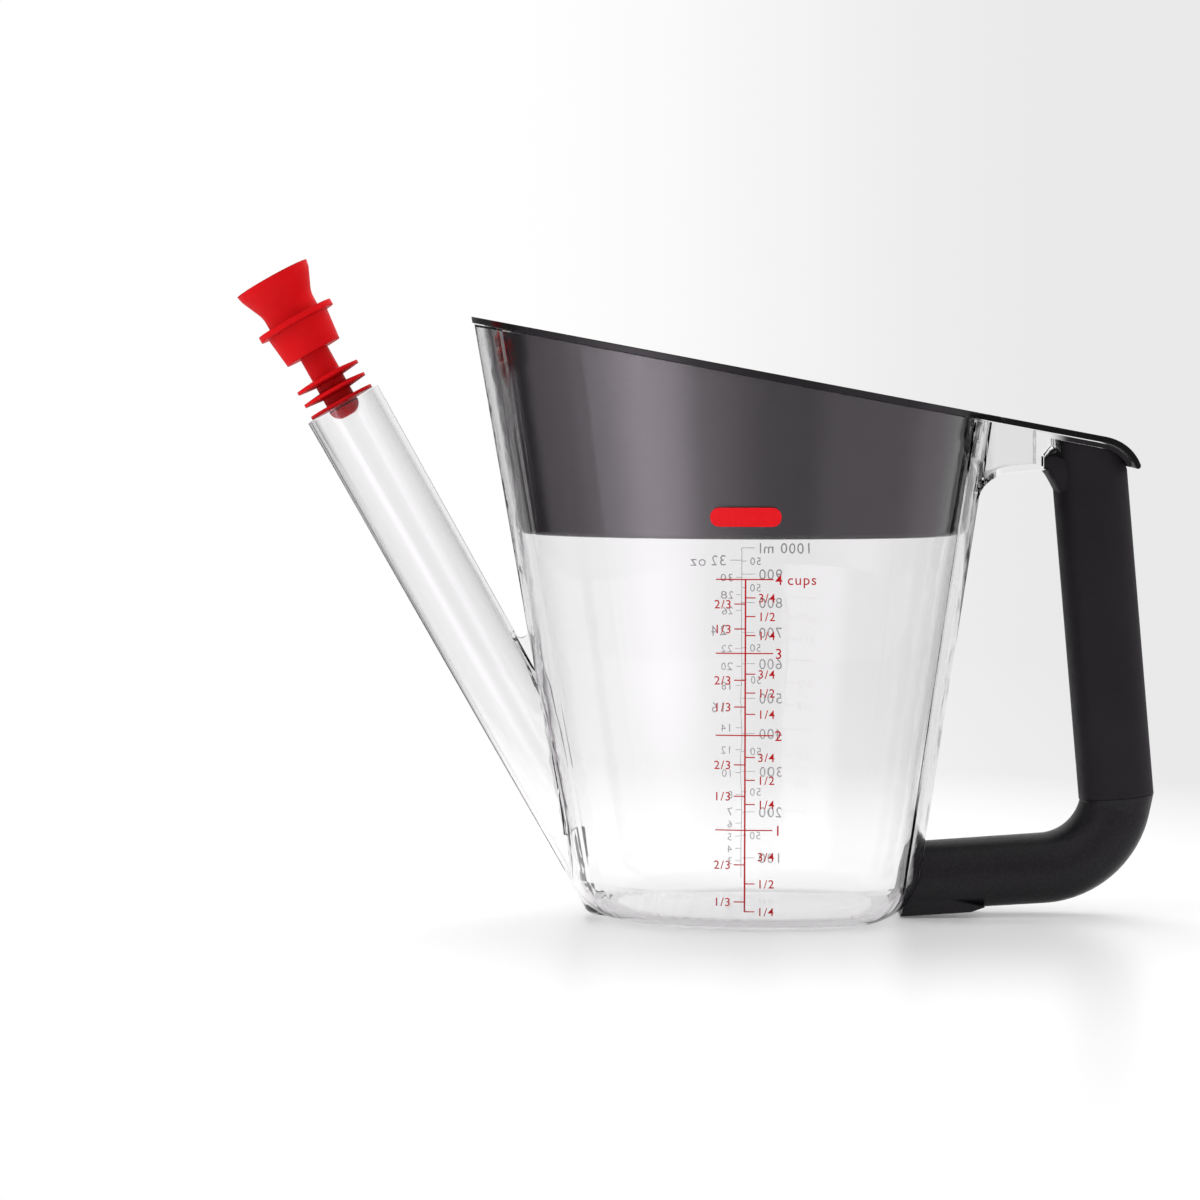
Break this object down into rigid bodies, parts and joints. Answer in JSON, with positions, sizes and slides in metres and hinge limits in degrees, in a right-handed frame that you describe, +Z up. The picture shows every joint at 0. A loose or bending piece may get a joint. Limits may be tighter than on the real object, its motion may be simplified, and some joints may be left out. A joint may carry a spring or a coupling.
{
  "type": "fat separator jug",
  "caption": "Clear tapered jug with a long straight spout set low, a lift-out strainer with a thumb tab, a red spout stopper and an open handle with a soft grip.",
  "frame": {"origin": "middle of the cup's flat foot, on the table", "axes": "+Z up out of the cup's mouth, +X from the cup towards the handle, the spout points to -X, and X-Z is the middle plane"},
  "size_m": [0.2751, 0.1156, 0.1971],
  "materials": {
    "clear_plastic": "clear, polished",
    "black_plastic": "satin",
    "red_silicone": "satin",
    "soft_grip": "matte",
    "core_plastic": "matte",
    "elbow_plastic": "fine matte texture"
  },
  "bodies": {
    "jug": {"jug_body": "clear_plastic", "grip_sleeve": "soft_grip", "handle_core": "core_plastic", "handle_elbow": "elbow_plastic"},
    "strainer_body": {"strainer": "black_plastic"},
    "stopper_body": {"spout_stopper": "red_silicone"}
  },
  "joints": [
    {"name": "strainer_lift", "type": "slide", "parent": "jug", "child": "strainer_body", "axis": [0, 0, 1], "range_m": [0, 0.08]},
    {"name": "stopper_slide", "type": "slide", "parent": "jug", "child": "stopper_body", "axis": [-0.4894, 0, 0.8721], "range_m": [-0.0273, 0.015]}
  ]
}
